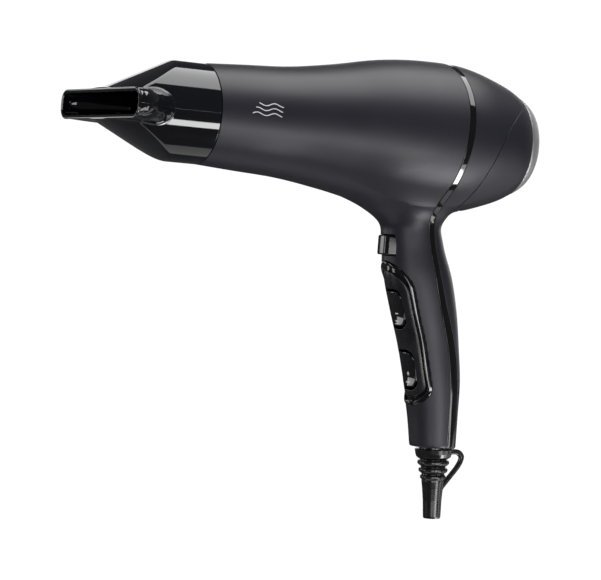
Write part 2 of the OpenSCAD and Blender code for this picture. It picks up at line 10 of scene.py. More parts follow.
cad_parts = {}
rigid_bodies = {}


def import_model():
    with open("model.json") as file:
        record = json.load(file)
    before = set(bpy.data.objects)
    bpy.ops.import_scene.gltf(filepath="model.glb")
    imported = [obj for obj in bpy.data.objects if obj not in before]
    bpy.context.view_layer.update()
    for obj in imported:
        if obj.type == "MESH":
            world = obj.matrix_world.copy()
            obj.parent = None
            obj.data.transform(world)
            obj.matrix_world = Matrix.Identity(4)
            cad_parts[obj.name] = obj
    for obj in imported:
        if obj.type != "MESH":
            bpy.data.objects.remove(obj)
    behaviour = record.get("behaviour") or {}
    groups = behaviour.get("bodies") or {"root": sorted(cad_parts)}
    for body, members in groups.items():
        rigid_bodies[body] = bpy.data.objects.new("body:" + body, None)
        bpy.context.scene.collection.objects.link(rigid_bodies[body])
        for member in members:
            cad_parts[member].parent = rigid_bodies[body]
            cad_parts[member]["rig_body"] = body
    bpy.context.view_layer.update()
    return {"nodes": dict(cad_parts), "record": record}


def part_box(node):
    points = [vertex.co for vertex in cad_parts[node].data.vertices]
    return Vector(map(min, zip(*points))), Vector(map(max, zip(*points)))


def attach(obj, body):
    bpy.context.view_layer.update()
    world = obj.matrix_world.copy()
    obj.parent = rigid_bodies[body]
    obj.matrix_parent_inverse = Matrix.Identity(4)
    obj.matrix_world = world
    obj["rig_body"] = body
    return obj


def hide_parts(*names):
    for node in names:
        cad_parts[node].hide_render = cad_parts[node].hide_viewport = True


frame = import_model()
MM = 0.001
record = frame["record"]
node_slot = {s["node"]: s["material_slot"] for s in record["subparts"]}


def corners(node):
    """Lowest and highest corner of a CAD node in millimetres."""
    low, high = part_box(node)
    return np.array(low) / MM, np.array(high) / MM


# ---------------------------------------------------------------- curves

def curve(rows):
    """A smooth function through rows of (position, value, ...), straight beyond both ends."""
    table = np.array(sorted(rows), float)
    at, value = table[:, 0], table[:, 1:]
    gap = np.diff(at)[:, None]
    slope = np.diff(value, axis=0) / gap
    tangent = np.empty_like(value)
    tangent[1:-1] = (slope[:-1] * gap[1:] + slope[1:] * gap[:-1]) / (gap[1:] + gap[:-1])
    tangent[0] = slope[0]
    tangent[-1] = slope[-1]

    def find(t):
        t = np.asarray(t, float)
        k = np.clip(np.searchsorted(at, t) - 1, 0, len(at) - 2)
        held = np.clip(t, at[0], at[-1])
        h = gap[k]
        u = ((held - at[k])[..., None]) / h
        found = ((1 + 2 * u) * (1 - u) ** 2 * value[k] + u * (1 - u) ** 2 * h * tangent[k]
                 + u * u * (3 - 2 * u) * value[k + 1] + u * u * (u - 1) * h * tangent[k + 1])
        beyond = (t - held)[..., None] * np.where((k == 0)[..., None], tangent[0], tangent[-1])
        found = np.moveaxis(found + beyond, -1, 0)
        return found[0] if len(found) == 1 else found

    return find


def blurred(rows, reach, step=0.25):
    """The same curve with its bends eased over that reach, so that highlights run smoothly along it."""
    rough = curve(rows)
    first, last = min(rows)[0], max(rows)[0]
    margin = 4 * reach
    at = np.arange(first - margin, last + margin, step)
    weight = np.exp(-0.5 * (np.arange(-3 * reach, 3 * reach + step, step) / reach) ** 2)
    weight /= weight.sum()
    columns = np.atleast_2d(rough(at))
    eased = np.array([np.convolve(c, weight, "same") for c in columns])
    half = len(weight) // 2
    at, eased = at[half:-half], eased[:, half:-half]
    return curve([(t, *e) for t, e in zip(at[::8], eased.T[::8])])


def rate(function, t, step=0.05):
    """How steeply the function changes at t."""
    return (function(t + step) - function(t - step)) / (2 * step)


# ---------------------------------------------------------------- fields, negative inside a solid

def melt(a, b, reach):
    """Union of two fields with a fillet."""
    h = np.maximum(reach - np.abs(a - b), 0)
    return np.minimum(a, b) - h * h / (4 * reach)


def cut(a, b, reach):
    """Intersection of two fields with a rounded edge."""
    return -melt(-a, -b, reach)


def plate(u, v, half_u, half_v, corner):
    """A rectangle with round corners."""
    qu = np.abs(u) - half_u + corner
    qv = np.abs(v) - half_v + corner
    return np.hypot(np.maximum(qu, 0), np.maximum(qv, 0)) + np.minimum(np.maximum(qu, qv), 0) - corner


narrows_below = -90
narrows_over = 60
narrowing = 0.085
most_narrowing = 1.2


def arch(y, z, half, top, end, corner):
    """An arch-topped outline with round lower corners, which narrows downwards as the handle does."""
    y = y * (1 + narrowing * np.clip((narrows_below - z) / narrows_over, 0, most_narrowing))
    above = np.hypot(y, np.maximum(z - (top - half), 0)) - half
    qy = np.abs(y) - (half - corner)
    qz = (end + corner) - z
    below = np.hypot(np.maximum(qy, 0), np.maximum(qz, 0)) + np.minimum(np.maximum(qy, qz), 0) - corner
    return np.maximum(above, below)


# ---------------------------------------------------------------- meshes from fields

not_zero = 1e-9
on_line = 1e-7
rounding_steps = (0, 0.134, 0.5, 1)


def slope_of(field, points, step=0.02):
    """The field's gradient at each point."""
    columns = []
    for axis in np.eye(3) * step:
        columns.append((field(*(points + axis).T) - field(*(points - axis).T)) / (2 * step))
    return np.stack(columns, 1)


def unit(vectors):
    return vectors / np.maximum(np.linalg.norm(vectors, axis=1, keepdims=True), 1e-12)


def settle(field, points, rounds=4, longest=0.6):
    """Moves the points on to the field's surface."""
    for _ in range(rounds):
        g = slope_of(field, points)
        step = g * (field(*points.T) / np.maximum((g * g).sum(1), not_zero))[:, None]
        length = np.linalg.norm(step, axis=1, keepdims=True)
        points = points - step * np.minimum(1, longest / np.maximum(length, not_zero))
    return points


def skin(field, low, high, pitch, rounds=2):
    """Points and quads on the surface where the field is zero, evened out."""
    axes = [np.arange(a, b + pitch, pitch) for a, b in zip(low, high)]
    value = field(axes[0][:, None, None], axes[1][None, :, None], axes[2][None, None, :])
    inside = value < 0
    size = [len(a) - 1 for a in axes]
    corner = [(i, j, k) for i in (0, 1) for j in (0, 1) for k in (0, 1)]

    def at_corner(grid, c):
        return grid[tuple(slice(c[k], c[k] + size[k]) for k in range(3))]

    count = sum(at_corner(inside, c).astype(np.int8) for c in corner)
    cell = (count > 0) & (count < 8)
    total = cell.sum()
    index = np.full(size, -1)
    index[cell] = np.arange(total)
    crossing = np.zeros((total, 3))
    hits = np.zeros(total)
    held = {c: at_corner(value, c)[cell] for c in corner}
    for c in corner:
        for axis in range(3):
            if c[axis]:
                continue
            far = tuple(1 if k == axis else c[k] for k in range(3))
            a, b = held[c], held[far]
            crossed = (a < 0) != (b < 0)
            share = np.where(crossed, a / np.where(crossed, a - b, 1), 0)
            point = np.tile(np.array(c, float), (total, 1))
            point[:, axis] += share
            crossing += point * crossed[:, None]
            hits += crossed
    start = np.stack(np.nonzero(cell), 1)
    points = np.array([a[0] for a in axes]) + pitch * (start + crossing / hits[:, None])

    quads = []
    for axis in range(3):
        u, w = (axis + 1) % 3, (axis + 2) % 3
        near = [slice(0, size[k]) if k == axis else slice(1, size[k]) for k in range(3)]
        far = list(near)
        far[axis] = slice(1, size[axis] + 1)
        here, ahead = inside[tuple(near)], inside[tuple(far)]
        change = here != ahead
        at = np.stack(np.nonzero(change), 1) + [0 if k == axis else 1 for k in range(3)]
        ring = []
        for du, dw in ((1, 1), (0, 1), (0, 0), (1, 0)):
            beside = at.copy()
            beside[:, u] -= du
            beside[:, w] -= dw
            ring.append(index[tuple(beside.T)])
        ring = np.stack(ring, 1)
        backward = ~here[change]
        ring[backward] = ring[backward][:, ::-1]
        quads.append(ring)
    quads = np.concatenate(quads)
    points = settle(field, points)
    pairs = np.concatenate([quads[:, [k, (k + 1) % 4]] for k in range(4)])
    for _ in range(rounds):
        total_at = np.zeros_like(points)
        met = np.zeros(len(points))
        for a, b in ((0, 1), (1, 0)):
            np.add.at(total_at, pairs[:, a], points[pairs[:, b]])
            np.add.at(met, pairs[:, a], 1)
        points = settle(field, points * 0.4 + 0.6 * total_at / np.maximum(met, 1)[:, None], 3)
    return points, quads


def halves(quads):
    """Each quad as two triangles."""
    return np.concatenate([quads[:, [0, 1, 2]], quads[:, [0, 2, 3]]])


def split(points, tris, value, column, level):
    """Cuts the triangles along the line where that column of value has that level."""
    d = value[:, column] - level
    side = np.where(np.abs(d) < on_line, 0, np.sign(d))
    s = side[tris]
    mixed = (s.max(1) > 0) & (s.min(1) < 0)
    if not mixed.any():
        return points, tris, value
    whole, broken, s = tris[~mixed], tris[mixed], s[mixed]
    through = (s == 0).any(1)
    first = np.where(through, (s == 0).argmax(1), 0)
    plus = (s > 0).sum(1)
    lone = np.where(plus == 1, (s > 0).argmax(1), (s < 0).argmax(1))
    first = np.where(through, first, lone)
    turned = np.take_along_axis(broken, (first[:, None] + np.arange(3)) % 3, 1)
    edges = np.concatenate([
        turned[through][:, [1, 2]],
        turned[~through][:, [0, 1]],
        turned[~through][:, [0, 2]],
    ])
    pairs, where = np.unique(np.sort(edges, 1), axis=0, return_inverse=True)
    where = where.ravel()
    share = (d[pairs[:, 0]] / (d[pairs[:, 0]] - d[pairs[:, 1]]))[:, None]
    added = points[pairs[:, 0]] * (1 - share) + points[pairs[:, 1]] * share
    added_value = value[pairs[:, 0]] * (1 - share) + value[pairs[:, 1]] * share
    added_value[:, column] = level
    new = where + len(points)
    n_through, n_lone = through.sum(), (~through).sum()
    m = new[:n_through]
    o, p, q = turned[through].T
    pieces = [whole, np.stack([o, p, m], 1), np.stack([o, m, q], 1)]
    m, n = new[n_through:n_through + n_lone], new[n_through + n_lone:]
    a, b, c = turned[~through].T
    pieces += [np.stack([a, m, n], 1), np.stack([m, b, c], 1), np.stack([m, c, n], 1)]
    points = np.concatenate([points, added])
    value = np.concatenate([value, added_value])
    return points, np.concatenate(pieces), value


def leaning(normal, lean):
    """Normals tipped over by that much."""
    lean = lean / np.maximum(np.linalg.norm(lean, axis=1, keepdims=True), 1)
    return unit(normal * np.sqrt(np.maximum(1 - (lean * lean).sum(1), 0))[:, None] + lean)


def shell(field, points, tris, edges, wall, inner):
    """A closed wall cut out of a skin.

    Each edge is a field that is positive inside the piece, that edge's rounding, and whether its inner side
    is rounded too. Returns points, faces and one normal for each corner of each face."""
    spacing = np.median(np.linalg.norm(points[tris[:, 0]] - points[tris[:, 1]], axis=1))
    value = np.stack([e(*points.T) for e, _, _ in edges], 1)
    near = (value > -3 * spacing).all(1)
    tris = tris[near[tris].any(1)]
    for k, (edge, _, _) in enumerate(edges):
        close = np.abs(value[:, k]) < 0.2 * spacing
        along = slope_of(edge, points[close])
        steep = np.maximum((along * along).sum(1), not_zero)
        moved = points[close] - along * (value[close, k] / steep)[:, None]
        points = points.copy()
        points[close] = settle(field, moved, 2)
        value[close, k] = 0
    for k, (_, rounding, _) in enumerate(edges):
        for share in rounding_steps:
            points, tris, value = split(points, tris, value, k, share * rounding)
        tris = tris[(value[tris, k] > -on_line).all(1)]
    used, tris = np.unique(tris, return_inverse=True)
    tris = tris.reshape(-1, 3)
    points, value = settle(field, points[used], 2), value[used]
    normal = unit(slope_of(field, points))
    sunk, raised = np.zeros(len(points)), np.zeros(len(points))
    lean, inner_lean = np.zeros_like(points), np.zeros_like(points)
    for k, (edge, rounding, both) in enumerate(edges):
        outward = -slope_of(edge, points)
        outward = unit(outward - normal * (outward * normal).sum(1)[:, None])
        tilt = 1 - np.clip(value[:, k] / rounding, 0, 1)
        drop = rounding * (1 - np.sqrt(np.maximum(1 - tilt * tilt, 0)))
        sunk = np.maximum(sunk, drop)
        lean += outward * tilt[:, None]
        if both:
            raised = np.maximum(raised, drop)
            inner_lean += outward * tilt[:, None]
    outer = points - normal * sunk[:, None]
    base = settle(inner, points - normal * wall, 6, 1.5)
    within_normal = unit(slope_of(inner, base))
    within = base + within_normal * raised[:, None]
    count = len(points)
    directed = np.concatenate([tris[:, [0, 1]], tris[:, [1, 2]], tris[:, [2, 0]]])
    key = directed[:, 0] * count + directed[:, 1]
    mirror = directed[:, 1] * count + directed[:, 0]
    rim = directed[~np.isin(key, mirror)]
    rim_faces = np.stack([rim[:, 1], rim[:, 0], rim[:, 0] + count, rim[:, 1] + count], 1)
    outward = unit(lean)
    faces = [*tris.tolist(), *(tris[:, ::-1] + count).tolist(), *rim_faces.tolist()]
    outer_normal = leaning(normal, lean)
    inner_normal = leaning(-within_normal, inner_lean)
    normals = np.concatenate([
        outer_normal[tris].reshape(-1, 3),
        inner_normal[tris[:, ::-1]].reshape(-1, 3),
        outward[rim[:, [1, 0, 0, 1]]].reshape(-1, 3),
    ])
    return np.concatenate([outer, within]), faces, normals


def solid(field, low, high, pitch):
    """A closed solid on the field's surface, with its normals."""
    points, quads = skin(field, low, high, pitch)
    normal = unit(slope_of(field, points))
    return points, quads.tolist(), normal[quads].reshape(-1, 3)


# ---------------------------------------------------------------- placing pieces

def piece(name, node, made, slot=None, replaces=True):
    """Turns (points, faces, corner normals) into an object that rides with a CAD node's body."""
    points, faces, normals = made
    mesh = bpy.data.meshes.new(name)
    mesh.from_pydata((np.asarray(points) * MM).tolist(), [], faces)
    mesh.polygons.foreach_set("use_smooth", [True] * len(mesh.polygons))
    if normals is not None:
        mesh.normals_split_custom_set(normals.tolist())
    mesh.validate()
    mesh.update()
    thing = bpy.data.objects.new(name, mesh)
    bpy.context.scene.collection.objects.link(thing)
    slot = slot or node_slot[node]
    mesh.materials.append(materials[slot])
    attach(thing, frame["nodes"][node]["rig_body"])
    if replaces:
        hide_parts(node)
    return thing


# ---------------------------------------------------------------- the housing's shape

wall = 2.2
gap = 0.15
nose_x = corners("front_shell")[0][0]
tail_x = corners("rear_filter_cap")[1][0]
handle_end = corners("rear_shell")[0][2]
edge_round = 0.3
handle_top = -28
handle_end_round = 1.2
fillet_middle = 1.5
fillet_aside = 8
fillet_reach = 18
fillet_most = 1.5
removes_nothing = 50

# Rows of (x, radius); of (z, front x, back x, half width); of (z, middle x, half width); and of (z, x).
barrel_radius = blurred([(-88, 28), (-64, 29.6), (-36, 31.4), (-6, 35.8), (24, 41.4), (52, 43.5),
                         (78, 42.3), (98, 36.9), (106, 34.1), (113.3, 30.4), (118, 27.4)], 3)
grip_line = blurred([(-28, -8, 86, 17), (-37, 6, 83, 18), (-44, 23, 76.5, 18), (-50, 33.3, 72, 16.6),
                     (-60, 36.5, 73.9, 16.2), (-80, 39.3, 81.7, 17.5), (-100, 45.2, 87, 17),
                     (-120, 52.2, 90.4, 16), (-140, 57.7, 93.1, 15.2), (-160, 62.9, 93.5, 13.8),
                     (-179, 66.1, 93.9, 12.4)], 1.5)
trim_line = blurred([(52, 65, 1.8), (26, 65, 1.8), (0, 62.8, 1.8), (-28, 59.6, 1.8), (-46, 58, 2.2),
                     (-62, 59.9, 2), (-78, 64, 2), (-98, 70.4, 2.3), (-120, 79, 3.1),
                     (-144, 83.6, 3.2), (-180, 86.2, 4)], 4)
cap_line = blurred([(-52, 69), (-41, 72.4), (-24, 77.5), (-1.9, 86.5), (9.3, 93), (21.4, 107.5),
                    (26.5, 115.3)], 2)
cap_low = -41


def barrel(x, y, z):
    """The barrel, turned about X."""
    return (np.hypot(y, z) - barrel_radius(x)) / np.sqrt(1 + rate(barrel_radius, x) ** 2)


def grip(x, y, z):
    """The handle: an ellipse at each height."""
    front, back, half = grip_line(z)
    deep = (back - front) / 2
    along = (x - (front + back) / 2) / deep
    aside = y / half
    far = np.maximum(np.hypot(along, aside), 1e-3)
    steep = np.maximum(np.hypot(along / deep, aside / half), 1e-3 / np.maximum(deep, half))
    return far * (far - 1) / steep


def body(x, y, z):
    """Barrel and handle, with a fillet that is tight along the middle and wide at the sides."""
    handle = np.maximum(grip(x, y, z), z - handle_top)
    fillet = fillet_middle + fillet_aside * np.minimum((y / fillet_reach) ** 2, fillet_most)
    whole = melt(barrel(x, y, z), handle, fillet)
    return cut(whole, handle_end - z, handle_end_round)


def body_inside(x, y, z):
    return body(x, y, z) + wall


def across_trim(x, z):
    """Distance behind the middle of the trim strip, and the strip's half width."""
    middle, half = trim_line(z)
    lean = rate(trim_line, z)[0]
    return (x - middle) / np.sqrt(1 + lean * lean), half


def before_trim(x, y, z):
    along, half = across_trim(x, z)
    return -along - half - gap


def behind_trim(x, y, z):
    along, half = across_trim(x, z)
    return along - half - gap


def trim_front_side(x, y, z):
    along, half = across_trim(x, z)
    return half + along


def trim_rear_side(x, y, z):
    along, half = across_trim(x, z)
    return half - along


def behind_cap_line(x, y, z):
    return (x - cap_line(z)) / np.sqrt(1 + rate(cap_line, z) ** 2)


def outside_cap(x, y, z):
    return -np.minimum(behind_cap_line(x, y, z), z - cap_low) - gap


def inside_cap_line(x, y, z):
    return behind_cap_line(x, y, z) - gap


def above_cap_end(x, y, z):
    return z - cap_low - gap


def behind_nose(x, y, z):
    return x - nose_x


def before_tail(x, y, z):
    return tail_x - x


def only_ahead(x, z, value):
    """Keeps a field to the front half of the handle."""
    front, back, _ = grip_line(z)
    return np.where(x > (front + back) / 2 + 2, removes_nothing, value)


# ---------------------------------------------------------------- switches

surround_half = 14.3
surround_top = -73
surround_end = -155
surround_corner = 11.5
panel_half = 11.85
panel_top = -78.5
panel_end = -150
panel_corner = 8
panel_sunk = 0.6
panel_inner = 2.2
switch_depth = 13
bead_half = 1.15
bead_sunk = 0.8
ledge_half = 3
ledge_sunk = 2.1
rocker_half_wide = 7.4
rocker_half_long = 10.3
rocker_corner = 4.7
rocker_crown = 0.5
rocker_back = 2
button_flange_x = 41.6
button_front_half = 5
button_flare = 3
button_flare_long = 5.9
button_clearance = 1.8
button_low, button_high = corners("cold_shot_button")
button_middle = (button_low[2] + button_high[2]) / 2
boot_lean = math.radians(3.2)
boot_x = 81
boot_hole = 8.6
boot_hole_top = -170


def switch_frame(pin, tilt):
    """Turns points into a rocker's frame: X into the handle, Z up along its front, origin on the pin."""
    low, high = corners(pin)
    at = (low + high) / 2
    c, s = math.cos(math.radians(tilt)), math.sin(math.radians(tilt))

    def inward(x, y, z):
        return (x - at[0]) * c + (z - at[2]) * s, y, (z - at[2]) * c - (x - at[0]) * s

    return inward


speed_frame = switch_frame("speed_rocker_pin", 17.8)
heat_frame = switch_frame("heat_rocker_pin", 14.6)


def boot_frame(x, y, z):
    """Distance from the strain relief's axis, and height along it above the handle's end."""
    c, s = math.cos(boot_lean), math.sin(boot_lean)
    dx, dz = x - boot_x, z - handle_end
    return np.hypot(dx * c + dz * s, y), dz * c - dx * s


def outside_surround(x, y, z):
    hole = arch(y, z, surround_half + gap, surround_top + gap, surround_end - gap, surround_corner + gap)
    return only_ahead(x, z, hole + 0 * x)


def outside_button(x, y, z):
    return only_ahead(x, z, plate(y, z - button_middle, 8.3, 6.05, 1) + 0 * x)


def outside_boot(x, y, z):
    out, _ = boot_frame(x, y, z)
    return np.where(z > boot_hole_top, removes_nothing, out - boot_hole)


def surround_shape(x, y, z):
    """A round bead along the outline, and a sunk ledge between it and the panel."""
    h = grip(x, y, z)
    front, _, half = grip_line(z)
    nudge = 0.1
    inside = -arch(y, z, surround_half, surround_top, surround_end, surround_corner)
    beside = arch(y + nudge, z, surround_half, surround_top, surround_end, surround_corner)
    sideways = np.abs(beside + inside) / nudge
    facing = np.sqrt(np.maximum(1 - (np.minimum(sideways, 1) * y / half) ** 2, 0.12))
    run = inside / facing
    bead = plate(run - bead_half, h + bead_sunk, bead_half, 1.3, 1.05)
    ledge = plate(run - ledge_half, h + ledge_sunk, ledge_half, 0.6, 0.2)
    whole = melt(bead, ledge, 0.5)
    hole = -arch(y, z, panel_half, panel_top, panel_end, panel_corner)
    return np.maximum(np.maximum(whole, hole + 0 * x), x - front - switch_depth)


def panel_shape(x, y, z):
    h = grip(x, y, z)
    plan = arch(y, z, panel_half - gap, panel_top - gap, panel_end + gap, panel_corner - gap) + 0 * x
    sheet = np.maximum(cut(plan, h + panel_sunk, 0.9), -h - panel_inner)
    sheet = np.maximum(sheet, x - grip_line(z)[0] - switch_depth)
    for into in (speed_frame, heat_frame):
        _, across, up = into(x, y, z)
        sheet = cut(sheet, -plate(across, up, 7.7, 12, 5), 0.5)
    return sheet


rocker_dish = blurred([(-10.3, -7.4), (-5.5, -6.2), (0, -5.7), (5.5, -6.2), (10.3, -7.4)], 1)


def rocker_face(across, up):
    return rocker_dish(up) + rocker_crown * (across / rocker_half_wide) ** 2


def rocker_shape(into):
    def field(x, y, z):
        deep, across, up = into(x, y, z)
        plan = plate(across, up, rocker_half_wide, rocker_half_long, rocker_corner)
        top = cut(plan, rocker_face(across, up) - deep, 1.0)
        return np.maximum(top, deep - rocker_back)
    return field


def button_shape(x, y, z):
    """The cold-shot button, wider towards the handle, with a bowed face."""
    front = button_low[0]
    spread = button_front_half + button_flare * np.clip((x - front) / button_flare_long, 0, 1)
    plan = cut((np.abs(y) - spread) * 0.9, front - x + 0.012 * y * y, 2.2)
    tall = np.abs(z - button_middle) - (button_high[2] - button_low[2] - button_clearance) / 2
    return np.maximum(cut(plan, tall, 1.2), x - button_flange_x)


def bar_mark(into, middle, half_across, half_up):
    """A raised mark on a rocker's face: a small bar."""
    def field(x, y, z):
        deep, across, up = into(x, y, z)
        over = rocker_face(across, up) - 0.06 - deep
        outline = plate(across, up - middle, half_across, half_up, 0.15)
        return np.maximum(np.maximum(over, -over - 0.5), outline)
    return field


def either(*fields):
    def field(x, y, z):
        return np.minimum.reduce([f(x, y, z) for f in fields])
    return field


# ---------------------------------------------------------------- strain relief boot

cord_bore = 3.6
loop_half_wide = 1.7

# Ribs as (height, outer radius, groove radius), and the outline as (radius, height).
boot_ribs = [(-8.7, 9.2, 7.6), (-13.1, 8.4, 7), (-17.2, 7.4, 6.5)]
boot_outline = [(2, 5.1), (9.7, 5.1), (9.7, 3.1), (8.3, 3.1), (8.3, -1.1), (11, -1.1), (10.6, -3.6),
                (10, -5.5), (8.5, -6.6)]
for middle, out, groove in boot_ribs:
    boot_outline += [(groove, middle + 1.8), (groove + 0.1, middle + 1.1), (out - 0.4, middle + 1.0),
                     (out, middle + 0.3), (out, middle - 0.7), (out - 0.5, middle - 1.3)]
boot_outline += [(6.5, -18.9), (6.5, -19.9), (6, -24.1), (5.4, -31.1), (5.05, -40.6), (4.8, -41.5),
                 (2, -41.5)]


def inside_outline(u, v, outline):
    """Distance to a closed outline, negative inside it."""
    nearest = np.full(np.broadcast(u, v).shape, 1e9)
    inside = np.zeros(nearest.shape, bool)
    for (ax, ay), (bx, by) in zip(outline, outline[1:] + outline[:1]):
        ex, ey = bx - ax, by - ay
        share = np.clip(((u - ax) * ex + (v - ay) * ey) / (ex * ex + ey * ey), 0, 1)
        nearest = np.minimum(nearest, (u - ax - share * ex) ** 2 + (v - ay - share * ey) ** 2)
        if ey:
            inside ^= ((ay > v) != (by > v)) & (u < ax + (v - ay) * ex / ey)
    return np.where(inside, -1, 1) * np.sqrt(nearest)


# The hanging loop, as (x, z, half thickness).
loop_path = [(88.5, -181.6, 1.6), (96.2, -181.3, 1.6), (99.3, -182.5, 1.5), (100.5, -185, 1.2),
             (98.3, -190, 1.15), (91.3, -198.6, 1.15), (86.5, -204.5, 1.2)]


def along_path(path, steps=8):
    """Smooth points along a path."""
    rows = [(k, *p) for k, p in enumerate(path)]
    return curve(rows)(np.linspace(0, len(path) - 1, steps * (len(path) - 1) + 1)).T


loop_points = along_path(loop_path)


def loop_shape(x, y, z):
    """The flat strap of the hanging loop."""
    nearest = np.full(np.broadcast(x, z).shape, 1e9)
    for a, b in zip(loop_points[:-1], loop_points[1:]):
        run = b - a
        share = np.clip(((x - a[0]) * run[0] + (z - a[1]) * run[1]) / (run[0] ** 2 + run[1] ** 2), 0, 1)
        off = np.hypot(x - a[0] - share * run[0], z - a[1] - share * run[1]) - a[2] - share * run[2]
        nearest = np.minimum(nearest, off)
    return cut(nearest, np.abs(y) - loop_half_wide, 0.8)


def boot_shape(x, y, z):
    """The strain relief with its loop, and the bore for the lead."""
    out, up = boot_frame(x, y, z)
    whole = melt(inside_outline(out, up, boot_outline) - 0.1, loop_shape(x, y, z), 0.8)
    return np.maximum(whole, cord_bore - out)


# ---------------------------------------------------------------- nozzle

mouth_x = corners("nozzle_upper_shell")[0][0]
nozzle_end = corners("nozzle_upper_shell")[1][0]
cone_radius = corners("nozzle_upper_shell")[1][2]
mouth_half = corners("nozzle_upper_shell")[1][1]
slot_half = 7.75
slope = math.radians(25.7)
crown = 80
nozzle_wall = 2
facet_round = 0.9
tube_fillet = 0.9
mouth_corner = 6.2
corner_growth = 3.5
corner_over = 9
rim_inset = 0.5
rim_behind = 0.9
rim_radius = 0.95
dome_start = 21.3
dome_len = 18

# Rows of (distance behind the mouth, half width).
tube_plan = blurred([(-2, 50), (0.5, 50), (6, 49.4), (12, 46.2), (19, 39.8), (26, 34), (32, 30.4),
                     (38, 27.8)], 3)


def facet(x, y, z):
    """The crowned slanting face on top."""
    off = (z - slot_half - 0.2) * math.cos(slope) - (x - mouth_x) * math.sin(slope)
    return np.hypot(off + crown, y) - crown


def cone(x, y, z):
    """The round part of the nozzle with its two slanting faces."""
    round_part = np.hypot(y, z) - cone_radius
    faces = np.maximum(facet(x, y, z), facet(x, y, -z))
    return np.maximum(cut(round_part, faces, facet_round), mouth_x + 1 - x)


def tube(x, y, z):
    """The flared slot: its plan, and its side view with a rounded back."""
    ahead = x - mouth_x
    plan = np.abs(y) - tube_plan(ahead)
    plan = plan / np.sqrt(1 + rate(tube_plan, ahead) ** 2)
    high = slot_half + 2 * np.minimum(ahead, dome_start) / dome_start
    past = np.maximum(ahead - dome_start, 0) / dome_len
    side = (np.hypot(past, z / high) - 1) * high
    eased = np.clip(ahead / corner_over, 0, 1)
    corner = np.minimum(mouth_corner + corner_growth * eased * eased * (3 - 2 * eased), high)
    qy, qz = plan + corner, side + corner
    return np.hypot(np.maximum(qy, 0), np.maximum(qz, 0)) + np.minimum(np.maximum(qy, qz), 0) - corner


def nozzle_shape(x, y, z):
    """The nozzle's outside, with a bead around its mouth."""
    whole = melt(cone(x, y, z), tube(x, y, z), tube_fillet)
    rim = np.hypot(whole + rim_inset, x - mouth_x - rim_behind) - rim_radius
    return melt(whole, rim, 0.5)


def nozzle_inside(x, y, z):
    return melt(cone(x, y, z), tube(x, y, z), tube_fillet) + nozzle_wall


def above_seam(x, y, z):
    return z + 0 * x


def below_seam(x, y, z):
    return -z + 0 * x


def behind_mouth(x, y, z):
    return x - mouth_x


def before_nozzle_end(x, y, z):
    return nozzle_end - x


# ---------------------------------------------------------------- intake and fan

def round_grille(rings, half_ring, spokes, half_spoke, rim, middle, half_deep):
    """Rings and spokes about the barrel's axis, as a field."""
    def field(x, y, z):
        out = np.hypot(y, z)
        flat = np.minimum.reduce([np.abs(out - r) - half_ring for r in rings])
        for k in range(spokes // 2):
            a = 2 * math.pi * k / spokes
            bar = np.abs(y * math.sin(a) - z * math.cos(a)) - half_spoke
            flat = melt(flat, np.maximum(bar, rings[0] - out), 0.5)
        flat = melt(flat, np.abs(out - rim) - 0.6, 0.5)
        return cut(np.maximum(flat, out - rim - 0.55), np.abs(x - middle) - half_deep, 0.5)
    return field


def turned(outline, rounds=0.35, around=180):
    """Revolves a closed outline of (x, radius) about the barrel's axis, with its corners rounded."""
    soft = []
    count = len(outline)
    for k in range(count):
        a, p, b = (np.array(outline[j % count], float) for j in (k - 1, k, k + 1))
        to_a, to_b = np.linalg.norm(a - p), np.linalg.norm(b - p)
        start = p + (a - p) * min(rounds / to_a, 0.45)
        end = p + (b - p) * min(rounds / to_b, 0.45)
        for t in np.linspace(0, 1, 5):
            soft.append((1 - t) ** 2 * start + 2 * t * (1 - t) * p + t * t * end)
    soft = np.array(soft)
    angle = np.linspace(0, 2 * math.pi, around, endpoint=False)
    x = np.repeat(soft[:, :1], around, 1)
    r = soft[:, 1:]
    points = np.stack([x, r * np.cos(angle), r * np.sin(angle)], 2).reshape(-1, 3)
    row, col = np.meshgrid(np.arange(len(soft)), np.arange(around), indexing="ij")
    down, over = (row + 1) % len(soft), (col + 1) % around
    quads = np.stack([row * around + col, row * around + over, down * around + over, down * around + col], 2)
    run = np.roll(soft, -1, 0) - np.roll(soft, 1, 0)
    run /= np.linalg.norm(run, axis=1, keepdims=True)
    turn = np.sign(np.sum(soft[:, 0] * np.roll(soft[:, 1], -1) - np.roll(soft[:, 0], -1) * soft[:, 1]))
    nx = np.repeat(run[:, 1:] * turn, around, 1)
    nr = -run[:, :1] * turn
    normal = np.stack([nx, nr * np.cos(angle), nr * np.sin(angle)], 2).reshape(-1, 3)
    quads = quads.reshape(-1, 4)
    if turn > 0:
        quads = quads[:, ::-1]
    return points, quads.tolist(), normal[quads].reshape(-1, 3)


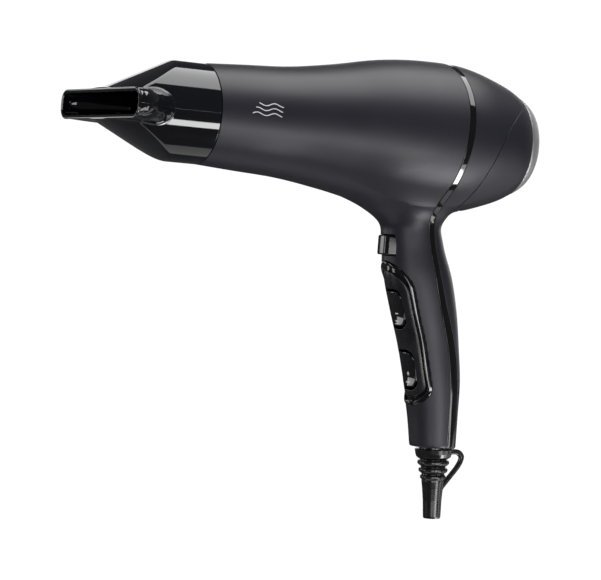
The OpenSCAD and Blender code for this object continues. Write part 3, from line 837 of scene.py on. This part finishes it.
def woven_mesh(middle, radius, pitch=1.6, wire=0.16, steps=6):
    """Wires that pass over and under each other inside a circle."""
    points, faces = [], []
    sides = 6
    reach = int(radius / pitch)
    for way in (0, 1):
        for k in range(-reach, reach + 1):
            at = k * pitch
            half = math.sqrt(max(radius * radius - at * at, 0))
            count = max(int(2 * half / pitch * steps), 4)
            run = np.linspace(-half, half, count)
            lift = 0.13 * np.cos(math.pi * (run / pitch + k + way))
            first = len(points)
            for t, up in zip(run, lift):
                for s in range(sides):
                    a = 2 * math.pi * s / sides
                    side, rise = wire * math.cos(a), wire * math.sin(a)
                    beside = (t, at + side) if way else (at + side, t)
                    points.append((middle + up + rise, *beside))
            for j in range(count - 1):
                for s in range(sides):
                    a, b = first + j * sides + s, first + j * sides + (s + 1) % sides
                    ring = [a, b, b + sides, a + sides]
                    faces.append(ring if way else ring[::-1])
            last = first + (count - 1) * sides
            near = list(range(first, first + sides))
            far = list(range(last, last + sides))
            faces.append(near[::-1] if way else near)
            faces.append(far if way else far[::-1])
    return np.array(points), faces, None


def fan_shape(x, y, z):
    """A hub with twisted blades."""
    blades = 9
    hub_radius = 9
    shaft_bore = 1.2
    low, high = corners("fan_impeller")
    middle = (low[0] + high[0]) / 2
    out = np.hypot(y, z)
    tip = high[2]
    twist = math.radians(34) / 13
    sector = 2 * math.pi / blades
    angle = np.arctan2(z, y) - (x - middle) * twist * (1.4 - 0.4 * out / tip)
    wrapped = (angle + sector / 2) % sector - sector / 2
    thick = 0.75 - 0.3 * out / tip
    blade = np.abs(out * np.sin(wrapped)) / np.sqrt(1 + (out * twist) ** 2) - thick
    blade = np.maximum(np.maximum(blade, out - tip), np.abs(x - middle) - 6 + 0.06 * out)
    hub = cut(out - hub_radius, np.abs(x - middle) - (high[0] - low[0]) / 2, 2.5)
    bore = shaft_bore - out
    return np.maximum(melt(blade, hub, 1.2), bore)


# ---------------------------------------------------------------- materials

materials = {}


def surface(name, colour, rough, metal=0.0):
    """A material with one Principled shader; returns its node tree, the shader and object coordinates."""
    made = bpy.data.materials.new(name)
    made.use_nodes = True
    tree = made.node_tree
    shader = tree.nodes["Principled BSDF"]
    shader.inputs["Base Color"].default_value = (*colour, 1)
    shader.inputs["Roughness"].default_value = rough
    shader.inputs["Metallic"].default_value = metal
    place = tree.nodes.new("ShaderNodeTexCoord")
    materials[name] = made
    return tree, shader, place.outputs["Object"]


def stretched(tree, place, scale):
    """The coordinates scaled differently along each axis."""
    mapping = tree.nodes.new("ShaderNodeMapping")
    mapping.inputs["Scale"].default_value = scale
    tree.links.new(place, mapping.inputs["Vector"])
    return mapping.outputs["Vector"]


def noise(tree, place, scale, detail=3.0):
    """A noise texture's value."""
    made = tree.nodes.new("ShaderNodeTexNoise")
    made.inputs["Scale"].default_value = scale
    made.inputs["Detail"].default_value = detail
    tree.links.new(place, made.inputs["Vector"])
    return made.outputs["Fac"]


def vary_colour(tree, shader, factor, dark, light):
    """Base colour drifts between two tones."""
    ramp = tree.nodes.new("ShaderNodeValToRGB")
    ramp.color_ramp.elements[0].position = 0.3
    ramp.color_ramp.elements[0].color = (*dark, 1)
    ramp.color_ramp.elements[1].position = 0.7
    ramp.color_ramp.elements[1].color = (*light, 1)
    tree.links.new(factor, ramp.inputs["Fac"])
    tree.links.new(ramp.outputs["Color"], shader.inputs["Base Color"])


def vary_rough(tree, shader, factor, low, high):
    """Roughness drifts between two values, as where a surface has been handled."""
    spread = tree.nodes.new("ShaderNodeMapRange")
    spread.inputs["From Min"].default_value = 0.3
    spread.inputs["From Max"].default_value = 0.7
    spread.inputs["To Min"].default_value = low
    spread.inputs["To Max"].default_value = high
    tree.links.new(factor, spread.inputs["Value"])
    tree.links.new(spread.outputs["Result"], shader.inputs["Roughness"])


def relief(tree, shader, factor, strength, depth):
    """Fine bump, depth in metres."""
    bump = tree.nodes.new("ShaderNodeBump")
    bump.inputs["Strength"].default_value = strength
    bump.inputs["Distance"].default_value = depth
    tree.links.new(factor, bump.inputs["Height"])
    tree.links.new(bump.outputs["Normal"], shader.inputs["Normal"])


def plain(name, colour, rough, metal=0.0, grain=4000, depth=0.00002, tone=0.25, worn=0.25):
    """A material with drifting tone and roughness and a fine grain."""
    tree, shader, place = surface(name, colour, rough, metal)
    dark = [c * (1 - tone) for c in colour]
    light = [min(c * (1 + tone), 1) for c in colour]
    vary_colour(tree, shader, noise(tree, place, 60), dark, light)
    vary_rough(tree, shader, noise(tree, place, 150), rough * (1 - worn), min(rough * (1 + worn), 1))
    relief(tree, shader, noise(tree, place, grain, 1), 0.5, depth)


def soft_touch():
    """The body's dark satin coating."""
    tree, shader, place = surface("body_soft_touch", (0.009, 0.009, 0.014), 0.44)
    vary_colour(tree, shader, noise(tree, place, 30), (0.008, 0.008, 0.013), (0.010, 0.010, 0.016))
    vary_rough(tree, shader, noise(tree, place, 25), 0.42, 0.46)
    relief(tree, shader, noise(tree, place, 3500, 2), 0.35, 0.00002)
    shader.inputs["Specular IOR Level"].default_value = 0.42
    shader.inputs["Specular Tint"].default_value = (0.97, 0.965, 1, 1)


def glossy(name, colour, low, high):
    """Polished plastic with faint smears."""
    tree, shader, place = surface(name, colour, low)
    vary_colour(tree, shader, noise(tree, place, 40), [c * 0.7 for c in colour], [c * 1.3 for c in colour])
    vary_rough(tree, shader, noise(tree, stretched(tree, place, (40, 90, 90)), 1), low, high)
    relief(tree, shader, noise(tree, place, 28, 1), 0.6, 0.0006)
    shader.inputs["Specular IOR Level"].default_value = 0.6


def ring_silver():
    """Satin silver with fine lines around the axis."""
    tree, shader, place = surface("ring_silver", (0.36, 0.36, 0.37), 0.45, 0.8)
    lines = noise(tree, stretched(tree, place, (9000, 60, 60)), 1, 2)
    vary_colour(tree, shader, noise(tree, place, 80), (0.33, 0.33, 0.34), (0.4, 0.4, 0.41))
    vary_rough(tree, shader, lines, 0.4, 0.52)
    relief(tree, shader, lines, 0.15, 0.00001)


def rubber_black():
    """The strain relief's smooth rubber."""
    tree, shader, place = surface("rubber_black", (0.005, 0.005, 0.006), 0.24)
    vary_colour(tree, shader, noise(tree, place, 120), (0.004, 0.004, 0.005), (0.007, 0.007, 0.008))
    vary_rough(tree, shader, noise(tree, place, 200), 0.2, 0.28)
    relief(tree, shader, noise(tree, place, 260, 1), 0.12, 0.00003)


def wire_sleeve():
    """Brown insulation on the leads."""
    tree, shader, place = surface("wire_sleeve", (0.35, 0.2, 0.12), 0.5)
    vary_colour(tree, shader, noise(tree, place, 30), (0.28, 0.15, 0.08), (0.42, 0.25, 0.15))
    vary_rough(tree, shader, noise(tree, place, 150), 0.375, 0.625)
    relief(tree, shader, noise(tree, place, 4000, 1), 0.5, 0.00002)


def print_pale():
    """Pale printing ink, for the marks."""
    plain("print_pale", (0.55, 0.55, 0.56), 0.45, grain=3000, tone=0.08)


def all_materials():
    soft_touch()
    glossy("gloss_black", (0.003, 0.0032, 0.0048), 0.04, 0.08)
    glossy("trim_gloss", (0.003, 0.003, 0.0035), 0.06, 0.11)
    glossy("button_black", (0.0035, 0.0035, 0.004), 0.07, 0.12)
    ring_silver()
    rubber_black()
    print_pale()
    wire_sleeve()
    plain("grille_black", (0.012, 0.012, 0.012), 0.35)
    plain("mesh_steel", (0.28, 0.28, 0.28), 0.35, 0.9)
    plain("panel_satin", (0.007, 0.007, 0.009), 0.3)
    plain("heat_resin", (0.02, 0.02, 0.02), 0.5)
    plain("mica", (0.55, 0.47, 0.33), 0.45, grain=800, depth=0.00005)
    plain("nichrome", (0.42, 0.38, 0.34), 0.35, 0.9)
    plain("duct_resin", (0.03, 0.03, 0.032), 0.45)
    plain("motor_steel", (0.5, 0.5, 0.5), 0.35, 0.9)
    plain("bearing_bronze", (0.5, 0.33, 0.15), 0.35, 0.9)
    plain("magnet", (0.04, 0.04, 0.045), 0.6, grain=1500)
    plain("copper_armature", (0.55, 0.22, 0.1), 0.35, 0.9)
    plain("plated_steel", (0.6, 0.6, 0.6), 0.3, 0.9)
    plain("circuit_board", (0.02, 0.12, 0.05), 0.4)
    plain("switch_resin", (0.6, 0.6, 0.57), 0.45)


# ---------------------------------------------------------------- pieces

def housing():
    """Both housing halves, the trim and the cap, cut out of one skin."""
    half_width = 46
    low = (-92, -half_width, handle_end - 3)
    high = (117, half_width, half_width)
    points, quads = skin(body, low, high, 1.5)
    tris = halves(quads)
    ends = [(behind_nose, edge_round, False), (before_tail, edge_round, True)]

    def part(name, node, *edges):
        cuts = [(e, edge_round, False) for e in edges] + ends
        return piece(name, node, shell(body, points, tris, cuts, wall, body_inside))

    part("front_housing", "front_shell", before_trim, outside_button, outside_surround, outside_boot)
    part("rear_housing", "rear_shell", behind_trim, outside_cap, outside_boot)
    part("trim_band", "trim_strip", trim_front_side, trim_rear_side, outside_boot)
    part("filter_cap", "rear_filter_cap", inside_cap_line, above_cap_end)


def nozzle():
    """The nozzle's halves, cut out of one skin along the seam at its waist."""
    low = (mouth_x - 2, -mouth_half - 2, -cone_radius - 2)
    high = (nozzle_end + 2, mouth_half + 2, cone_radius + 2)
    points, quads = skin(nozzle_shape, low, high, 0.6)
    tris = halves(quads)
    for name, node, side in (("nozzle_top", "nozzle_upper_shell", above_seam),
                             ("nozzle_bottom", "nozzle_lower_shell", below_seam)):
        cuts = [(side, 0.13, False), (behind_mouth, 0.5, True), (before_nozzle_end, 0.3, False)]
        piece(name, node, shell(nozzle_shape, points, tris, cuts, nozzle_wall, nozzle_inside))


def moulded(name, node, field, pitch, margin=1.5, slot=None, replaces=True):
    """A solid piece around a CAD node's place."""
    low, high = corners(node)
    return piece(name, node, solid(field, low - margin, high + margin, pitch), slot, replaces)


def switches():
    moulded("switch_rim", "switch_surround", surround_shape, 0.36)
    moulded("switch_plate", "switch_panel", panel_shape, 0.4)
    moulded("speed_key", "speed_rocker", rocker_shape(speed_frame), 0.35)
    moulded("heat_key", "heat_rocker", rocker_shape(heat_frame), 0.35)
    moulded("cool_button", "cold_shot_button", button_shape, 0.35)


def switch_marks():
    """One and two bars on the speed key, a small and a large plus on the heat key."""
    speed = either(bar_mark(speed_frame, -3.2, 1.7, 0.38), bar_mark(speed_frame, -7.4, 1.7, 0.38),
                   bar_mark(speed_frame, -8.9, 1.7, 0.38))
    heat = either(bar_mark(heat_frame, -2.6, 1.3, 0.36), bar_mark(heat_frame, -2.6, 0.36, 1.3),
                  bar_mark(heat_frame, -7.6, 2.1, 0.42), bar_mark(heat_frame, -7.6, 0.42, 2.1))
    for name, node, field in (("speed_marks", "speed_rocker", speed), ("heat_marks", "heat_rocker", heat)):
        mark = moulded(name, node, field, 0.16, 0.3, "button_black", False)
        mark.data.materials[0] = materials["print_pale"]


def air_motif():
    """Three waves on the barrel's near side, where the real one has its mark."""
    lowest = 1.9
    spacing = 2.7
    wave_high = 0.75
    wave_long = 10.5
    half_stroke = 0.3

    def field(x, y, z):
        over = body(x, y, z)
        strokes = []
        for k in (0, 1, 2):
            middle = lowest + spacing * k
            turn = 2 * math.pi * (x + 70) / wave_long
            wave = z - middle - wave_high * np.sin(turn)
            lean = np.sqrt(1 + (wave_high * 2 * math.pi / wave_long * np.cos(turn)) ** 2)
            ends = np.abs(x + 60 - 1.2 * (k - 1)) - 9 + 0.8 * k
            strokes.append(np.maximum(np.abs(wave) / lean - half_stroke, ends))
        flat = np.minimum.reduce(strokes) + 0 * y
        return np.maximum(np.maximum(over - 0.05, -over - 0.4), flat)
    made = solid(field, (-72, -32, -0.5), (-48, -26, 10), 0.2)
    mark = piece("air_waves", "front_shell", made, "body_soft_touch", False)
    mark.data.materials[0] = materials["print_pale"]


def intake():
    """The silver ring, the grille, and the woven filter with its rim."""
    start = corners("intake_ring")[0][0]
    outline = [(start, 27.4), (start, 30), (start + 1.7, 29.5), (start + 4.9, 27.7), (start + 7.4, 25.8),
               (start + 7.7, 25.1), (start + 7.4, 24.5), (start + 4.5, 26.2), (start + 3.1, 27.4)]
    piece("tail_ring", "intake_ring", turned(outline, 0.6))
    low, high = corners("intake_grille")
    grille = round_grille([5.5, 11.5, 17.5, 22.5], 0.6, 8, 0.7, 26.75, (low[0] + high[0]) / 2, 1)
    moulded("tail_grille", "intake_grille", grille, 0.4)
    low, high = corners("filter_mesh")
    middle = (low[0] + high[0]) / 2
    rim = turned([(low[0], 26.3), (low[0], 27.2), (high[0], 27.2), (high[0], 26.3)], 0.15)
    piece("mesh_rim", "filter_mesh", rim)
    piece("mesh_wires", "filter_mesh", woven_mesh(middle, 26.6))


def fan():
    moulded("fan_blades", "fan_impeller", fan_shape, 0.7)


def boot():
    moulded("cord_boot", "strain_relief_boot", boot_shape, 0.32)


def carried_over():
    """Every CAD node gets its material, and those that still show get small bevels."""
    for name, node in frame["nodes"].items():
        node.data.materials.clear()
        node.data.materials.append(materials[node_slot[name]])
        if not node.hide_render:
            bevel = node.modifiers.new("soft_edges", "BEVEL")
            bevel.width = 0.15 * MM
            bevel.limit_method = "ANGLE"
            bevel.angle_limit = math.radians(35)
            bevel.harden_normals = True


# ---------------------------------------------------------------- studio

backdrop_strength = 1.05
mirrored_strength = 0.08
fill_strength = 0.25
floor_half = 3.0
floor_below = 0.35


def softbox(name, at, aim, width, height, power, across=(1, 0, 0)):
    """A rectangular area light in metres, facing a point, with its width along the direction across."""
    data = bpy.data.lights.new(name, "AREA")
    data.shape = "RECTANGLE"
    data.size = width
    data.size_y = height
    data.energy = power
    light = bpy.data.objects.new(name, data)
    light.location = at
    back = (Vector(at) - Vector(aim)).normalized()
    wide = (Vector(across) - back * back.dot(Vector(across))).normalized()
    light.rotation_euler = Matrix((wide, back.cross(wide), back)).transposed().to_euler()
    light.visible_camera = False
    bpy.context.scene.collection.objects.link(light)


camera_turn = math.radians(29.113)
camera_rise = math.radians(0.803)
camera_roll = math.radians(4.435)
camera_far = 1.5
camera_left = 0.0209
camera_down = 0.0918
film_width = 36
focal_length = 158.4
toward = Vector((-math.sin(camera_turn) * math.cos(camera_rise),
                 -math.cos(camera_turn) * math.cos(camera_rise), math.sin(camera_rise)))
level_right = Vector((math.cos(camera_turn), -math.sin(camera_turn), 0))
level_up = toward.cross(level_right)
right = math.cos(camera_roll) * level_right + math.sin(camera_roll) * level_up
up = -math.sin(camera_roll) * level_right + math.cos(camera_roll) * level_up


def camera():
    """The photograph's viewing angle."""
    data = bpy.data.cameras.new("camera")
    data.sensor_width = film_width
    data.lens = focal_length
    made = bpy.data.objects.new("camera", data)
    at = camera_far * toward - camera_left * right - camera_down * up
    turn = Matrix((right, up, toward)).transposed().to_4x4()
    made.matrix_world = Matrix.Translation(at) @ turn
    bpy.context.scene.collection.objects.link(made)
    bpy.context.scene.camera = made


def seen_from_camera(across, rise, near):
    """A place in metres: across to the camera's right, rise upwards, near towards the camera."""
    level_toward = Vector((toward.x, toward.y, 0)).normalized()
    return across * level_right + rise * Vector((0, 0, 1)) + near * level_toward


def around_barrel(turn, far, along):
    """A place that the camera sees mirrored where the barrel's surface is turned up by half that angle."""
    rise = math.radians(turn)
    return Vector((along, -far * math.cos(rise), far * math.sin(rise)))


def lights():
    """Soft lights, placed by where the surfaces mirror them."""
    softbox("overhead", around_barrel(84, 0.9, 0.2), (0, 0, 0), 1.05, 0.9, 13.5)
    softbox("low_front", around_barrel(-51, 0.8, 0.73), (0.3, 0, 0), 0.7, 0.38, 3.4, (1, 0, -0.1))
    softbox("low_middle", around_barrel(-58, 0.8, 0.46), (0.1, 0, 0), 0.2, 0.34, 4.6)
    softbox("nozzle_strip", around_barrel(-27, 0.8, 0.27), (0.1, 0, 0), 0.26, 0.18, 1.9)
    softbox("under", around_barrel(-98, 0.5, 0.2), (0, 0, 0), 1.4, 0.26, 0.9)
    softbox("right_side", seen_from_camera(1.0, -0.3, -0.05), (0.08, 0, -0.15), 0.14, 0.12, 0.25, (0, 0, 1))
    softbox("front_fill", seen_from_camera(0.02, -0.27, 1.0), (0.05, 0, -0.1), 0.42, 0.34, 2.3, (0, 0, 1))
    softbox("boot_panel", seen_from_camera(0.46, -0.31, 0.88), (0.08, 0, -0.2), 0.16, 0.3, 1.6, (0, 0, 1))
    softbox("mouth_rim", seen_from_camera(-0.98, 0.0, -0.45), (-0.15, 0, 0), 0.6, 0.3, 1.6, (0, 0, 1))
    softbox("left_side", seen_from_camera(-1.0, -0.1, 0.2), (0, 0, -0.1), 0.6, 0.25, 1.5, (0, 0, 1))
    softbox("rear_rim", seen_from_camera(0.2, 0.2, -1.1), (0, 0, 0), 1.6, 0.5, 4)


def background(tree, colour, strength):
    """One even background, as a shader output."""
    made = tree.nodes.new("ShaderNodeBackground")
    made.inputs["Color"].default_value = colour
    made.inputs["Strength"].default_value = strength
    return made.outputs[0]


def studio_world():
    """White to the camera, dark in reflections, and a soft grey fill."""
    world = bpy.data.worlds.new("studio")
    bpy.context.scene.world = world
    world.use_nodes = True
    tree = world.node_tree
    tree.nodes.clear()
    out = tree.nodes.new("ShaderNodeOutputWorld")
    rays = tree.nodes.new("ShaderNodeLightPath")
    shown = background(tree, (1, 1, 1, 1), backdrop_strength)
    mirrored = background(tree, (1, 1, 1, 1), mirrored_strength)
    fill = background(tree, (1, 1, 1.02, 1), fill_strength)
    glossy_mix = tree.nodes.new("ShaderNodeMixShader")
    camera_mix = tree.nodes.new("ShaderNodeMixShader")
    tree.links.new(rays.outputs["Is Glossy Ray"], glossy_mix.inputs[0])
    tree.links.new(fill, glossy_mix.inputs[1])
    tree.links.new(mirrored, glossy_mix.inputs[2])
    tree.links.new(rays.outputs["Is Camera Ray"], camera_mix.inputs[0])
    tree.links.new(glossy_mix.outputs[0], camera_mix.inputs[1])
    tree.links.new(shown, camera_mix.inputs[2])
    tree.links.new(camera_mix.outputs[0], out.inputs["Surface"])


def floor():
    """A pale floor under the dryer, so bright that it runs into the white background."""
    far = floor_half
    drop = corners("strain_relief_boot")[0][2] * MM - floor_below
    mesh = bpy.data.meshes.new("floor")
    mesh.from_pydata([(-far, -far, drop), (far, -far, drop), (far, far, drop), (-far, far, drop)],
                     [], [(0, 1, 2, 3)])
    made = bpy.data.objects.new("floor", mesh)
    bpy.context.scene.collection.objects.link(made)
    tree, shader, place = surface("floor_pale", (0.9, 0.9, 0.9), 0.9)
    vary_colour(tree, shader, noise(tree, place, 3), (0.88, 0.88, 0.88), (0.92, 0.92, 0.92))
    shader.inputs["Emission Color"].default_value = (1, 1, 1, 1)
    rays = tree.nodes.new("ShaderNodeLightPath")
    tree.links.new(rays.outputs["Is Camera Ray"], shader.inputs["Emission Strength"])
    mesh.materials.append(materials["floor_pale"])
    made.visible_glossy = False


all_materials()
housing()
nozzle()
switches()
switch_marks()
air_motif()
intake()
fan()
boot()
carried_over()
camera()
lights()
studio_world()
floor()
bpy.context.scene.view_settings.view_transform = "Standard"
